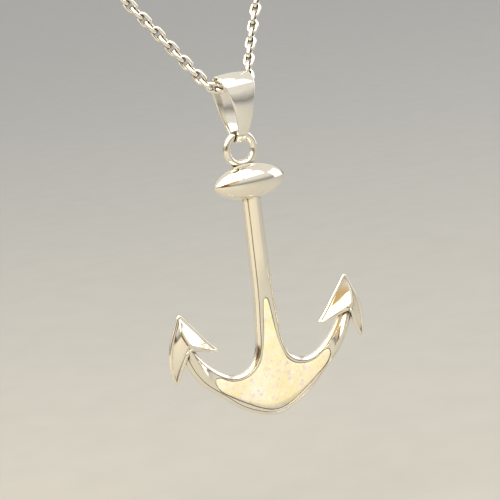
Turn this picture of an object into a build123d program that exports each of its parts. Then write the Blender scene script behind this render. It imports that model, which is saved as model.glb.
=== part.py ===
from build123d import *
import os
from math import cos, pi, radians, sin, sqrt, tan

os.makedirs("parts", exist_ok=True)

# Lengths in millimetres, angles in degrees.
# The origin is at the nape, on the neck side of the clasp. +X is the wearer's left,
# +Y runs back out of the nape and +Z is up, so the anchor hangs far down in front, facing -Y.

# Anchor: plate of the shank, crown and arms
STOCK_HEIGHT = 24.8       # crown's lowest point up to the stock's axis
SHANK_WIDTH = 2.02
PLATE_THICKNESS = 0.85
BEVEL_WIDTH = 0.35        # sloping rim of the front face
BEVEL_DEPTH = 0.25
BACK_BEVEL = 0.15         # softened edge of the back
RIDGE_FRONT = 1.0         # crest of the shank's ridge in front of the plate's middle
RIDGE_HIP = 3.3           # length over which the crest falls to the inlay's tip
RIDGE_FOOT = 0.05         # foot of each ridge, in from the plate's side
ARM_REACH = 9.7           # middle out to a fluke's root
ARM_RISE = 9.59           # crown's lowest point up to a fluke's root

# Inlay, let into the front of the crown
INLAY_LOWER_RIM = 0.62    # metal left beside it in front view
INLAY_UPPER_RIM = 0.5
INLAY_REACH = 6.9         # middle out to its cut end in each arm
INLAY_RISE = 12.3         # crown's lowest point up to its tip in the shank
INLAY_THICKNESS = 0.4
INLAY_GAP = 0.03          # glue line round and behind it
INLAY_STATIONS = 24       # places where each of its edges is set off from the plate's

# Flukes
FLUKE_LENGTH = 5.9        # line between the two barbs up to the point
FLUKE_WIDTH = 5.46        # barb to barb
FLUKE_LEAN = 12.4         # point leans outwards from upright
FLUKE_FRONT = 1.3         # ridge in front of the plate's middle
FLUKE_BACK = 1.05
FLUKE_EDGE = 0.4          # thickness of its rim

# Stock and its soldered ring
STOCK_LENGTH = 7.95
STOCK_DIAMETER = 3.66
STOCK_NOSE = 0.5          # radius of the blunt ends
RING_RADIUS = 1.58        # to the middle of the wire
RING_WIRE = 0.76
RING_SETBACK = 1.1        # ring stands this far behind the plate's middle
RING_SINK = 0.16          # wire let into the stock under the solder

# Bail, a folded band of sheet
BAIL_SHEET = 0.35
BAIL_WIDTH = 3.8          # at the top
BAIL_FOOT_WIDTH = 1.1     # round the ring
BAIL_HEIGHT = 7.04
BAIL_ROOM = 0.75          # free space round the chain inside the upper bend
BAIL_CLEARANCE = 0.17     # between the ring's wire and the lower bend
LEAF_BOW = 0.78           # radius of the bowed leaves in side view, as a share of BAIL_HEIGHT

# Chain
CHAIN_WIDTH = 1.3         # envelope of the crossed links
CHAIN_CLEARANCE = 0.45    # between the chain and the top of the bail's inside
CHAIN_BEND = 1.6          # radius of the turn at each mouth of the bail
MOUTH_GAP = 0.15          # bail's side out to the corner of the chain's turn
ROUTE_SHARE = 0.45        # share of the shorter run that each other bend takes up

# Clasp and its two rings at the nape
CLASP_LENGTH = 6.6
CLASP_WIDTH = 2.6
CLASP_THICKNESS = 1.6
CLASP_ROUND = 0.5
EYE_CLEARANCE = 0.27      # round the ring's wire inside the eye
EYE_WIRE = 0.5
EYE_SINK = 0.35           # eye let into the clasp's end
LINK_RING_RADIUS = 1.3
LINK_RING_WIRE = 0.56
CHAIN_END_GAP = 0.15

# Chain's route on the wearer's left, from the first point above the bail to the last before
# the clasp. The stretch at the bail and the one at the clasp follow from the sizes above.
PASSAGE = (-127.8, -100.6)   # y and z of the chain's middle inside the bail
CHAIN_ROUTE = [
    (9.4, -123.1, -89.7),
    (23.8, -112.8, -69.1),
    (44.6, -93.8, -39.8),
    (59.2, -61.0, -16.8),
    (54.0, -25.8, -4.0),
    (34.2, -7.8, -1.2),
    (17.4, -0.6, -0.3),
]

# Lower edge of the crown and arm, from the middle outwards.
# Columns: x as a share of ARM_REACH, z as a share of ARM_RISE.
LOWER_EDGE = [
    (0.000, 0.000),
    (0.235, 0.060),
    (0.485, 0.202),
    (0.640, 0.340),
    (0.825, 0.496),
    (0.985, 0.719),
    (1.040, 0.860),
    (1.075, 1.000),
]

# Upper edge, from the arm's end in to the shank. Columns: x as a share of the way from the
# shank's side out to ARM_REACH, z as a share of ARM_RISE.
UPPER_EDGE = [
    (0.955, 1.040),
    (0.872, 0.900),
    (0.794, 0.800),
    (0.615, 0.640),
    (0.364, 0.546),
    (0.165, 0.618),
    (0.068, 0.780),
    (0.039, 0.984),
    (0.012, 1.290),
]

# Ridge of an arm, from the inlay's end out to the fluke. Columns: its lower foot's place in
# LOWER_EDGE, its crest as in LOWER_EDGE and with its height as a share of FLUKE_FRONT, and
# its upper foot's place in UPPER_EDGE.
ARM_RIDGE = [
    (3, (0.720, 0.545, 0.350), 3),
    (4, (0.840, 0.660, 0.600), 2),
    (5, (0.930, 0.820, 0.780), 1),
    (6, (0.985, 0.950, 0.900), 0),
]

# Corners of a fluke's outline. Columns: along the fluke as a share of FLUKE_LENGTH,
# outwards across it as a share of FLUKE_WIDTH.
FLUKE_POINT = (1.000, 0.000)
FLUKE_INNER_BARB = (0.082, -0.500)
FLUKE_OUTER_BARB = (-0.084, 0.500)
FLUKE_OUTER_EDGE = [(0.800, 0.200), (0.577, 0.375), (0.340, 0.487), (0.112, 0.532)]
FLUKE_INNER_EDGE = [(0.560, -0.262)]
FLUKE_ROOT = (0.438, 0.088)

# Half width of the bail in front view, from its foot up. Columns: height as a share of
# BAIL_HEIGHT, and how far the width has opened from the foot's to the top's.
BAIL_FLARE = [
    (0.00, 0.00),
    (0.16, 0.04),
    (0.32, 0.17),
    (0.48, 0.35),
    (0.67, 0.61),
    (0.84, 0.88),
    (1.00, 1.00),
]


def lower_edge():
    """Points along the crown's and the left arm's lower edge, from the middle outwards."""
    return [(out * ARM_REACH, up * ARM_RISE) for out, up in LOWER_EDGE]


def upper_edge():
    """Points along the left arm's upper edge and up the shank's side."""
    side = SHANK_WIDTH / 2
    edge = [(side + out * (ARM_REACH - side), up * ARM_RISE) for out, up in UPPER_EDGE]
    return edge + [(side, STOCK_HEIGHT)]


def plate_face():
    """Outline of the shank, crown and arms in the front view."""
    lower = lower_edge()
    upper = upper_edge()
    left_lower = [(-x, z) for x, z in reversed(lower)]
    left_upper = [(-x, z) for x, z in reversed(upper)]
    outline = [
        Spline(*lower),
        Line(lower[-1], upper[0]),
        Spline(*upper),
        Line(upper[-1], left_upper[0]),
        Spline(*left_upper),
        Line(left_upper[-1], left_lower[0]),
        Spline(*left_lower),
    ]
    return make_face(outline)


def make_plate():
    """Extrude the outline evenly about the middle, bevel its front and soften its back."""
    plate = extrude(Plane.XZ * plate_face(), amount=PLATE_THICKNESS / 2, both=True)
    back = plate.faces().sort_by(Axis.Y)[-1]
    plate = chamfer([edge for edge in back.edges() if edge.center().Z < STOCK_HEIGHT], BACK_BEVEL)
    front = plate.faces().sort_by(Axis.Y)[0]
    rim = [edge for edge in front.edges() if edge.center().Z < STOCK_HEIGHT]
    return chamfer(rim, length=BEVEL_DEPTH, length2=BEVEL_WIDTH, reference=front)


def drawn_in(points, margin):
    """Spline that follows the one through the points at a margin to its left."""
    edge = Spline(*points)
    shares = [i / INLAY_STATIONS for i in range(INLAY_STATIONS + 1)]
    return Spline(*[edge @ share + (edge % share).rotate(Axis.Z, 90) * margin for share in shares])


def make_inlay(gap):
    """Flat inlay in the crown's front, the plate's outline drawn in and cut off, less a gap."""
    lower = lower_edge()
    both_lower = [(-x, z) for x, z in reversed(lower[1:])] + lower
    low = drawn_in(both_lower, INLAY_LOWER_RIM + gap)
    high = drawn_in(upper_edge(), INLAY_UPPER_RIM + gap)
    other = mirror(high, about=Plane.YZ)
    ends = [Line(low @ 1, high @ 0), Line(high @ 1, other @ 1), Line(other @ 0, low @ 0)]
    field = make_face([low, high, other] + ends)
    limit = Rectangle(2 * (INLAY_REACH - gap), INLAY_RISE - gap, align=(Align.CENTER, Align.MIN))
    depth = INLAY_THICKNESS + INLAY_GAP - gap
    return Pos(0, depth - PLATE_THICKNESS / 2, 0) * extrude(Plane.XZ * (field & limit), amount=depth)


def make_ridge(rungs):
    """Close a roof of flat facets over rungs, each of a foot, the crest and the other foot."""
    facets = [rungs[0], rungs[-1][::-1]]
    for near, far in zip(rungs, rungs[1:]):
        facets.append([near[0], far[0], far[1]])
        facets.append([near[0], far[1], near[1]])
        facets.append([near[1], far[1], far[2]])
        facets.append([near[1], far[2], near[2]])
        facets.append([near[0], near[2], far[2]])
        facets.append([near[0], far[2], far[0]])
    return Solid(Shell([Face(Wire.make_polygon(facet, close=True)) for facet in facets]))


def make_shank_ridge():
    """Ridge down the shank's front, whose crest falls to the plate's face at the inlay's tip."""
    side = SHANK_WIDTH / 2 - RIDGE_FOOT
    foot = BEVEL_DEPTH - PLATE_THICKNESS / 2
    crests = [
        (STOCK_HEIGHT, RIDGE_FRONT),
        (INLAY_RISE + RIDGE_HIP, RIDGE_FRONT),
        (INLAY_RISE, PLATE_THICKNESS / 2 + RIDGE_FOOT),
    ]
    rungs = []
    for z, front in crests:
        rungs.append([Vector(-side, foot, z), Vector(0, -front, z), Vector(side, foot, z)])
    return make_ridge(rungs)


def make_arm_ridge():
    """Ridge along the left arm's front, whose crest climbs from the inlay's end to the fluke."""
    foot = BEVEL_DEPTH - PLATE_THICKNESS / 2
    lower = lower_edge()
    upper = upper_edge()
    rungs = []
    for low, (out, up, front), high in ARM_RIDGE:
        below = Vector(lower[low][0] - RIDGE_FOOT, foot, lower[low][1] + RIDGE_FOOT)
        above = Vector(upper[high][0] + RIDGE_FOOT, foot, upper[high][1] - RIDGE_FOOT)
        rungs.append([below, Vector(out * ARM_REACH, -front * FLUKE_FRONT, up * ARM_RISE), above])
    return make_ridge(rungs)


def fluke_corner(share):
    """Place a corner of the left fluke, given along and across it, in the front view."""
    along = (share[0] - FLUKE_ROOT[0]) * FLUKE_LENGTH
    across = (share[1] - FLUKE_ROOT[1]) * FLUKE_WIDTH
    lean = radians(FLUKE_LEAN)
    x = ARM_REACH + along * sin(lean) + across * cos(lean)
    z = ARM_RISE + along * cos(lean) - across * sin(lean)
    return x, z


def make_fluke():
    """Close a three-cornered arrowhead whose facets rise from a thin edge to a ridge."""
    outline = [FLUKE_OUTER_BARB] + FLUKE_OUTER_EDGE[::-1] + [FLUKE_POINT]
    outline += FLUKE_INNER_EDGE + [FLUKE_INNER_BARB]
    corners = [fluke_corner(share) for share in outline]
    front = [Vector(x, -FLUKE_EDGE / 2, z) for x, z in corners]
    back = [Vector(x, FLUKE_EDGE / 2, z) for x, z in corners]
    root = fluke_corner(FLUKE_ROOT)
    front_root = Vector(root[0], -FLUKE_FRONT, root[1])
    back_root = Vector(root[0], FLUKE_BACK, root[1])
    facets = []
    for i in range(len(corners) - 1):
        facets.append([front[i], front[i + 1], front_root])
        facets.append([back[i + 1], back[i], back_root])
        facets.append([front[i + 1], front[i], back[i], back[i + 1]])
    facets.append([front[0], front_root, back_root, back[0]])
    facets.append([front_root, front[-1], back[-1], back_root])
    faces = [Face(Wire.make_polygon(facet, close=True)) for facet in facets]
    return Solid(Shell(faces))


def make_stock():
    """Turn a spindle with bowed sides and blunt ends about the X axis."""
    half = STOCK_LENGTH / 2
    radius = STOCK_DIAMETER / 2
    shoulder = half - STOCK_NOSE
    bow = ThreePointArc((-shoulder, STOCK_NOSE), (0, radius), (shoulder, STOCK_NOSE))
    right_nose = RadiusArc((shoulder, STOCK_NOSE), (half, 0), STOCK_NOSE)
    left_nose = RadiusArc((-half, 0), (-shoulder, STOCK_NOSE), STOCK_NOSE)
    axis = Line((half, 0), (-half, 0))
    profile = make_face([bow, right_nose, axis, left_nose])
    return revolve(profile, axis=Axis.X)


def make_anchor():
    """Join plate, ridges, flukes, stock and ring in one solid, less the inlay's pocket."""
    fluke = make_fluke()
    ridge = make_arm_ridge()
    stock = Pos(0, 0, STOCK_HEIGHT) * make_stock()
    ring = Pos(0, RING_SETBACK, RING_HEIGHT) * Rot(90, 0, 0) * Torus(RING_RADIUS, RING_WIRE / 2)
    plate = make_plate() + make_shank_ridge() + ridge + mirror(ridge, about=Plane.YZ)
    return plate + fluke + mirror(fluke, about=Plane.YZ) + stock + ring - make_inlay(0)


def leaf_section(inset):
    """Closed side view of the bail, inset from its outside: two bends and two bowed leaves."""
    top = BAIL_TOP_RADIUS - inset
    foot = BAIL_FOOT_RADIUS - inset
    side = LEAF_BOW * BAIL_HEIGHT - inset
    span = BAIL_HEIGHT - BAIL_TOP_RADIUS - BAIL_FOOT_RADIUS
    to_top = side - top
    to_foot = side - foot
    side_z = (to_foot**2 - to_top**2 + span**2) / (2 * span)
    side_y = sqrt(to_foot**2 - side_z**2)
    foot_end = (side_y - side * side_y / to_foot, side_z - side * side_z / to_foot)
    top_end = (side_y - side * side_y / to_top, side_z + side * (span - side_z) / to_top)
    front_leaf = ThreePointArc(foot_end, (side_y - side, side_z), top_end)
    upper_bend = ThreePointArc(top_end, (0, span + top), (-top_end[0], top_end[1]))
    back_foot_end = (-foot_end[0], foot_end[1])
    back_leaf = ThreePointArc((-top_end[0], top_end[1]), (side - side_y, side_z), back_foot_end)
    lower_bend = ThreePointArc(back_foot_end, (0, -foot), foot_end)
    return make_face([front_leaf, upper_bend, back_leaf, lower_bend])


def make_bail():
    """Trim a closed band of sheet to the flared outline of its front view."""
    band = extrude(Plane.YZ * (leaf_section(0) - leaf_section(BAIL_SHEET)), amount=BAIL_WIDTH, both=True)
    narrow = BAIL_FOOT_WIDTH / 2
    growth = BAIL_WIDTH / 2 - narrow
    right = [(narrow + w * growth, z * BAIL_HEIGHT - BAIL_FOOT_RADIUS) for z, w in BAIL_FLARE]
    left = [(-x, z) for x, z in reversed(right)]
    outline = [Spline(*right), Line(right[-1], left[0]), Spline(*left), Line(left[-1], right[0])]
    flare = extrude(Plane.XZ * make_face(outline), amount=BAIL_HEIGHT, both=True)
    return band & flare


def chain_points():
    """Corners of the whole loop, from the wearer's right end round the bail to the left end."""
    mouth = (BAIL_WIDTH / 2 + MOUTH_GAP, PASSAGE[0], PASSAGE[1])
    end = (CHAIN_END, CLASP_THICKNESS / 2, 0)
    left = [mouth] + CHAIN_ROUTE + [end]
    right = [(-x, y, z) for x, y, z in reversed(left)]
    return [Vector(*point) for point in right + left]


def chain_radii(points):
    """Radius at each corner: a share of the shorter run, but the set bend beside the bail."""
    radii = []
    for before, here, after in zip(points, points[1:], points[2:]):
        arriving = here - before
        leaving = after - here
        half_turn = radians(arriving.get_angle(leaving)) / 2
        shorter = min(arriving.length, leaving.length)
        radii.append(ROUTE_SHARE * shorter / tan(half_turn))
    middle = len(radii) // 2
    radii[middle - 1] = CHAIN_BEND
    radii[middle] = CHAIN_BEND
    return radii


def make_chain():
    """Sweep the envelope of the crossed links along the loop, and print its measures."""
    points = chain_points()
    radii = chain_radii(points)
    path = FilletPolyline(*points, radius=radii)
    section = Plane(origin=path @ 0, z_dir=path % 0) * Circle(CHAIN_WIDTH / 2)
    tube = sweep(section, path=path)
    area = pi * (CHAIN_WIDTH / 2) ** 2
    print("chain length", round(path.length, 1), "radii", [round(r, 1) for r in radii])
    print("chain volume", round(tube.volume, 2), "section times length", round(area * path.length, 2))
    return tube


def make_clasp():
    """Plain flat clasp, rounded at both ends, with an eye at each end for a ring."""
    outline = SlotOverall(CLASP_LENGTH, CLASP_WIDTH)
    body = extrude(Plane.XZ * outline, amount=CLASP_THICKNESS / 2, both=True)
    body = fillet(body.edges().group_by(Axis.Y)[0] + body.edges().group_by(Axis.Y)[-1], CLASP_ROUND)
    eye = Rot(90, 0, 0) * Torus(EYE_RADIUS, EYE_WIRE / 2)
    return body + Pos(EYE_CENTRE, 0, 0) * eye + Pos(-EYE_CENTRE, 0, 0) * eye


# Heights within the pendant, above the crown's lowest point
RING_SEAT = sqrt((STOCK_DIAMETER / 2) ** 2 - RING_SETBACK**2)
RING_HEIGHT = STOCK_HEIGHT + RING_SEAT + RING_WIRE / 2 - RING_SINK + RING_RADIUS
BAIL_FOOT_RADIUS = RING_WIRE / 2 + BAIL_CLEARANCE + BAIL_SHEET
BAIL_TOP_RADIUS = CHAIN_WIDTH / 2 + BAIL_ROOM + BAIL_SHEET

# Heights in the whole part, down from the chain's middle inside the bail
BAIL_TOP_Z = PASSAGE[1] + CHAIN_WIDTH / 2 + CHAIN_CLEARANCE + BAIL_SHEET
BAIL_FOOT_Z = BAIL_TOP_Z - BAIL_HEIGHT + BAIL_FOOT_RADIUS
ANCHOR_Z = BAIL_FOOT_Z - RING_RADIUS - RING_HEIGHT
ANCHOR_Y = PASSAGE[0] - RING_SETBACK

# Places along the clasp
EYE_RADIUS = LINK_RING_WIRE / 2 + EYE_CLEARANCE + EYE_WIRE / 2
EYE_CENTRE = CLASP_LENGTH / 2 + EYE_RADIUS + EYE_WIRE / 2 - EYE_SINK
LINK_RING_CENTRE = EYE_CENTRE + LINK_RING_RADIUS
CHAIN_END = LINK_RING_CENTRE + LINK_RING_RADIUS + LINK_RING_WIRE / 2 + CHAIN_END_GAP

link_ring = Torus(LINK_RING_RADIUS, LINK_RING_WIRE / 2)
clasp_y = CLASP_THICKNESS / 2
pieces = {
    "anchor": Pos(0, ANCHOR_Y, ANCHOR_Z) * make_anchor(),
    "inlay": Pos(0, ANCHOR_Y, ANCHOR_Z) * make_inlay(INLAY_GAP),
    "bail": Pos(0, PASSAGE[0], BAIL_FOOT_Z) * make_bail(),
    "chain": make_chain(),
    "clasp": Pos(0, clasp_y, 0) * make_clasp(),
    "left_end_ring": Pos(LINK_RING_CENTRE, clasp_y, 0) * link_ring,
    "right_end_ring": Pos(-LINK_RING_CENTRE, clasp_y, 0) * link_ring,
}
for name, piece in pieces.items():
    export_step(piece, f"parts/{name}.step")
print("anchor and bail hinge heights", round(BAIL_FOOT_Z - RING_RADIUS, 3), PASSAGE)
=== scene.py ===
from math import atan2, cos, pi, radians, sin, sqrt

import bmesh
import bpy
import numpy as np
from mathutils import Matrix, Vector


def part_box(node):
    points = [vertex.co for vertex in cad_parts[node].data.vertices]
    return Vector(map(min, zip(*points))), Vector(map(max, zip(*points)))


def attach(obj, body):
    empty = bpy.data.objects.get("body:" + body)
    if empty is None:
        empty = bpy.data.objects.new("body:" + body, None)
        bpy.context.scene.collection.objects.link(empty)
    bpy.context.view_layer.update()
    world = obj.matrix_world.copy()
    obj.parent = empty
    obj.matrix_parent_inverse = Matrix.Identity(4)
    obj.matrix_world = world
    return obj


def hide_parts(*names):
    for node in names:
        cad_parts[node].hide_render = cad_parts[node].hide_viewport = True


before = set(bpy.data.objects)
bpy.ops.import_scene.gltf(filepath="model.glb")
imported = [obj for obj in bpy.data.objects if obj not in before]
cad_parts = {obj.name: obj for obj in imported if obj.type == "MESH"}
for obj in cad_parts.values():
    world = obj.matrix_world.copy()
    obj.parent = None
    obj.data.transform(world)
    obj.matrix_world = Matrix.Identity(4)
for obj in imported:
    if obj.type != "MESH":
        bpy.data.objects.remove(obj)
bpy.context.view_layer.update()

# The view. A long lens looks at the pendant from the left of its front and from a little above,
# tipped by a few degrees. Lengths are in millimetres here and in every section below.
MM = 0.001
VIEW_YAW = -28.70         # degrees round from straight in front
VIEW_PITCH = 11.58        # above the level
VIEW_ROLL = -7.08
VIEW_DISTANCE = 183.4
VIEW_LENS = 128.7         # on a sensor 36 mm wide
AIM_HEIGHT = 18.0         # above the crown's lowest point
AIM_ACROSS = 0.76         # aim point's place right of and above the middle of the picture
AIM_UP = 0.40

anchor_low, anchor_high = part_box("anchor")
CROWN = np.array([0.0, (anchor_low[1] + anchor_high[1]) / 2, anchor_low[2]]) / MM
view_turn = Matrix.Rotation(radians(VIEW_YAW), 4, "Z")
view_turn = view_turn @ Matrix.Rotation(radians(90 - VIEW_PITCH), 4, "X")
view_turn = view_turn @ Matrix.Rotation(radians(VIEW_ROLL), 4, "Z")
aim = Vector(CROWN) + Vector((0, 0, AIM_HEIGHT))
eye = (aim + view_turn @ Vector((-AIM_ACROSS, -AIM_UP, VIEW_DISTANCE))) * MM
camera_data = bpy.data.cameras.new("view")
camera_data.lens = VIEW_LENS
camera_data.clip_start = 10 * MM
camera_data.clip_end = 50000 * MM
camera = bpy.data.objects.new("view", camera_data)
camera.matrix_world = Matrix.Translation(eye) @ view_turn
bpy.context.scene.collection.objects.link(camera)
bpy.context.scene.camera = camera

# Shank, crown and arms. The real piece is sterling silver, cast in one and filed to flat facets:
# a roof-like ridge down the shank and along each arm, and round the crown a bevelled rim with a
# sunk bed for the inlay. Polished all over, with the lines between the facets left crisp.
PLATE_THICKNESS = 0.85
STOCK_HEIGHT = 24.8       # crown's lowest point up to the stock's axis
BEVEL_WIDTH = 0.35
BEVEL_DEPTH = 0.25
BACK_BEVEL = 0.15
OUTER_SCORE = 0.035       # half the width of the line scored along the bevel's outer side
INNER_SCORE = 0.06        # and of the one along its inner side
SCORE_DEPTH = 1.4         # depth of a scored line, as a share of its half width
FACET_BULGE = 0.15        # how far a ridge's facet stands out of the flat between its edges
BED_DEPTH = 0.38          # floor of the inlay's bed below the plate's face
CREST_HEIGHT = 1.0        # shank's crest in front of the plate's middle
CREST_HIP = 17.0          # height from which the crest falls to the inlay's tip
EDGE_STEPS = 2000         # points along a whole edge, of which the sections take some
SIDE_COLUMNS = 28         # sections along the shank, and along an arm's ridge
RIM_COLUMNS = 110         # sections along the rim, on one side of one half
CORNER_STEPS = 4
CORNER_REACH = 0.45       # share of a run that one rounded corner may take up
SEAM_REACH = 0.003        # points this near the mirror plane are drawn onto it
CENTRE_DIGITS = 4         # decimals to which the centres of back-to-back faces agree
# Radii of a section's corners: the back's two, three for each scored line, the middle of the
# facet, the crest and the foot of the bed's wall.
PLATE_ROUNDING = [0.06] * 2 + [0.02] * 6 + [0.4, 0.06, 0.03]

# Upper edge of the right half, from the stock down the shank and out along the arm, and lower
# edge, from the middle out. Columns: across from the middle, up from the crown's lowest point.
UPPER_EDGE = [
    (1.08, 24.80),
    (1.05, 22.50),
    (1.05, 20.00),
    (1.08, 16.40),
    (1.17, 12.37),
    (1.39, 9.44),
    (1.62, 7.48),
    (2.44, 5.93),
    (4.17, 5.24),
    (6.35, 6.14),
    (7.91, 7.67),
    (8.59, 8.63),
    (9.31, 9.97),
]
LOWER_EDGE = [
    (0.00, 0.00),
    (2.28, 0.58),
    (4.70, 1.94),
    (6.21, 3.26),
    (8.00, 4.76),
    (9.55, 6.90),
    (10.09, 8.25),
    (10.43, 9.59),
]
# Edge of the inlay: from its tip in the shank to the middle of its end in the arm, and from the
# middle of the crown to the same place. Columns as above.
INLAY_UPPER = [
    (0.00, 12.60),
    (0.19, 12.52),
    (0.36, 12.10),
    (0.47, 11.30),
    (0.58, 10.30),
    (0.88, 8.00),
    (1.30, 6.55),
    (1.90, 5.60),
    (2.60, 5.06),
    (4.10, 4.72),
    (5.60, 5.12),
    (6.45, 5.55),
    (6.88, 5.50),
    (7.00, 4.98),
]
INLAY_LOWER = [
    (0.00, 0.62),
    (1.60, 0.98),
    (2.90, 1.64),
    (4.10, 2.36),
    (5.25, 3.12),
    (6.10, 3.72),
    (6.72, 4.34),
    (7.00, 4.98),
]
# Crest of an arm. Columns: across, up, height in front of the plate's middle.
ARM_CREST = [
    (7.00, 4.98, 0.425),
    (7.62, 5.80, 0.58),
    (8.25, 6.70, 0.76),
    (8.98, 7.95, 0.98),
    (9.55, 9.11, 1.17),
]

HAIRLINE = 0.12           # between the buffing wheel's marks, coarser than real ones so as to show
HAIRLINE_DEPTH = 0.0006
PATCH = 2.2               # across the patches where the polish is softer
PATCH_ROUGH = 1.5         # roughness in a dull patch, as a share of the metal's own
PATCH_SMOOTH = 0.7        # and in a glossy one
CREVICE = 0.5             # a corner is what has other metal within this reach
FULL_TARNISH_AND_SHADE = 0.30          # share of open surroundings up to which a corner is fully tarnished and painted in shade
CLEAN_AND_UNSHADED = 0.85              # and from which it has neither tarnish nor painted shade
# Dark brown mixed in where ambient occlusion finds metal near: partly tarnish in hollows, partly
# painted shade in corners, joints and scored lines.
TARNISH_AND_SHADE = "#4E4130"


def through(rows, count):
    """Points at even steps of a natural cubic spline through a table's rows.

    The parameter runs along the straight lines between the rows. The second derivatives are
    zero at both ends and solve the tridiagonal system h0*m0 + 2*(h0+h1)*m1 + h1*m2 = 6*(s1-s0)
    at each inner row, where h is a step, s its slope and m a second derivative.
    """
    rows = np.asarray(rows, dtype=float)
    step = np.linalg.norm(np.diff(rows, axis=0), axis=1)
    knots = np.concatenate([[0.0], np.cumsum(step)])
    slope = np.diff(rows, axis=0) / step[:, None]
    system = np.eye(len(rows))
    inner = np.arange(1, len(rows) - 1)
    system[inner, inner - 1] = step[:-1]
    system[inner, inner] = 2 * (step[:-1] + step[1:])
    system[inner, inner + 1] = step[1:]
    right = np.zeros_like(rows)
    right[1:-1] = 6 * np.diff(slope, axis=0)
    bend = np.linalg.solve(system, right)
    at = np.linspace(0, knots[-1], count)
    run = np.clip(np.searchsorted(knots, at, side="right") - 1, 0, len(step) - 1)
    h = step[run][:, None]
    before = (knots[run + 1] - at)[:, None]
    after = (at - knots[run])[:, None]
    cubic = (bend[run] * before**3 + bend[run + 1] * after**3) / (6 * h)
    near = (rows[run] / h - bend[run] * h / 6) * before
    far = (rows[run + 1] / h - bend[run + 1] * h / 6) * after
    return cubic + near + far


def half_through(rows, count):
    """Right half of the spline through a table's rows and their mirror images."""
    whole = through([(-x, z) for x, z in reversed(rows[1:])] + rows, 2 * count - 1)
    return whole[count - 1:]


def unit(vectors):
    """Vectors of length one, or zero where a vector has no length."""
    length = np.linalg.norm(vectors, axis=-1, keepdims=True)
    return vectors / np.maximum(length, 1e-9)


def rounded(sections, radii):
    """Round the corners of a whole array of sections, shaped (sections, corners, 3).

    Each inner corner c becomes a quadratic curve from c - r*u to c + r*v with c as its middle
    control, where u and v are the directions of the straight runs into and out of it and r is
    at most the corner's reach times the run that it lies on.
    """
    rows = [sections[:, :1]]
    share = np.linspace(0, 1, CORNER_STEPS)[None, :, None]
    for i, radius in enumerate(radii, start=1):
        corner = sections[:, i]
        arriving = corner - sections[:, i - 1]
        leaving = sections[:, i + 1] - corner
        back = np.minimum(radius, CORNER_REACH * np.linalg.norm(arriving, axis=1))[:, None]
        ahead = np.minimum(radius, CORNER_REACH * np.linalg.norm(leaving, axis=1))[:, None]
        start = (corner - unit(arriving) * back)[:, None]
        end = (corner + unit(leaving) * ahead)[:, None]
        middle = corner[:, None]
        rows.append((1 - share) ** 2 * start + 2 * share * (1 - share) * middle + share**2 * end)
    rows.append(sections[:, -1:])
    return np.concatenate(rows, axis=1)


def grid_faces(columns, rows, closed_rows):
    """Four-cornered faces of a grid that is closed from its last column to its first.

    With closed_rows it is closed from its last row to its first as well.
    """
    i = np.arange(columns)[:, None]
    j = np.arange(rows if closed_rows else rows - 1)[None, :]
    next_i = (i + 1) % columns
    next_j = (j + 1) % rows
    corners = [i * rows + j, next_i * rows + j, next_i * rows + next_j, i * rows + next_j]
    return np.stack(corners, axis=-1).reshape(-1, 4)


def make_piece(name, points, faces, body, node, material, place=CROWN):
    """Put points (in millimetres about a place) and faces into a mesh, and hang it in the frame.

    Points that meet are merged, faces without area dissolved, and the rest turned outwards.
    """
    meeting = 0.0001 * MM
    mesh = bpy.data.meshes.new(name)
    mesh.from_pydata(((points.reshape(-1, 3) + place) * MM).tolist(), [], faces.tolist())
    work = bmesh.new()
    work.from_mesh(mesh)
    bmesh.ops.remove_doubles(work, verts=work.verts, dist=meeting)
    bmesh.ops.dissolve_degenerate(work, edges=work.edges, dist=meeting)
    bmesh.ops.recalc_face_normals(work, faces=work.faces)
    work.to_mesh(mesh)
    work.free()
    mesh.polygons.foreach_set("use_smooth", np.ones(len(mesh.polygons), dtype=bool))
    mesh.materials.append(material)
    piece = bpy.data.objects.new(name, mesh)
    bpy.context.scene.collection.objects.link(piece)
    shading = piece.modifiers.new("even facets", "WEIGHTED_NORMAL")
    shading.keep_sharp = False
    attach(piece, body)
    if node:
        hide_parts(node)


def add(tree, kind, sockets, **settings):
    """Add a shader node, with its settings, and a value or a link for each socket named."""
    made = tree.nodes.new("ShaderNode" + kind)
    for name, value in settings.items():
        setattr(made, name, value)
    for socket, value in sockets.items():
        if isinstance(value, bpy.types.NodeSocket):
            tree.links.new(value, made.inputs[socket])
        else:
            made.inputs[socket].default_value = value
    return made


def colour(code):
    """Linear colour with full opacity of an sRGB hex value such as #F2EEE6."""
    shares = np.array([int(code[i:i + 2], 16) for i in (1, 3, 5)]) / 255
    linear = np.where(shares <= 0.04045, shares / 12.92, ((shares + 0.055) / 1.055) ** 2.4)
    return (*linear.tolist(), 1.0)


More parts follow.
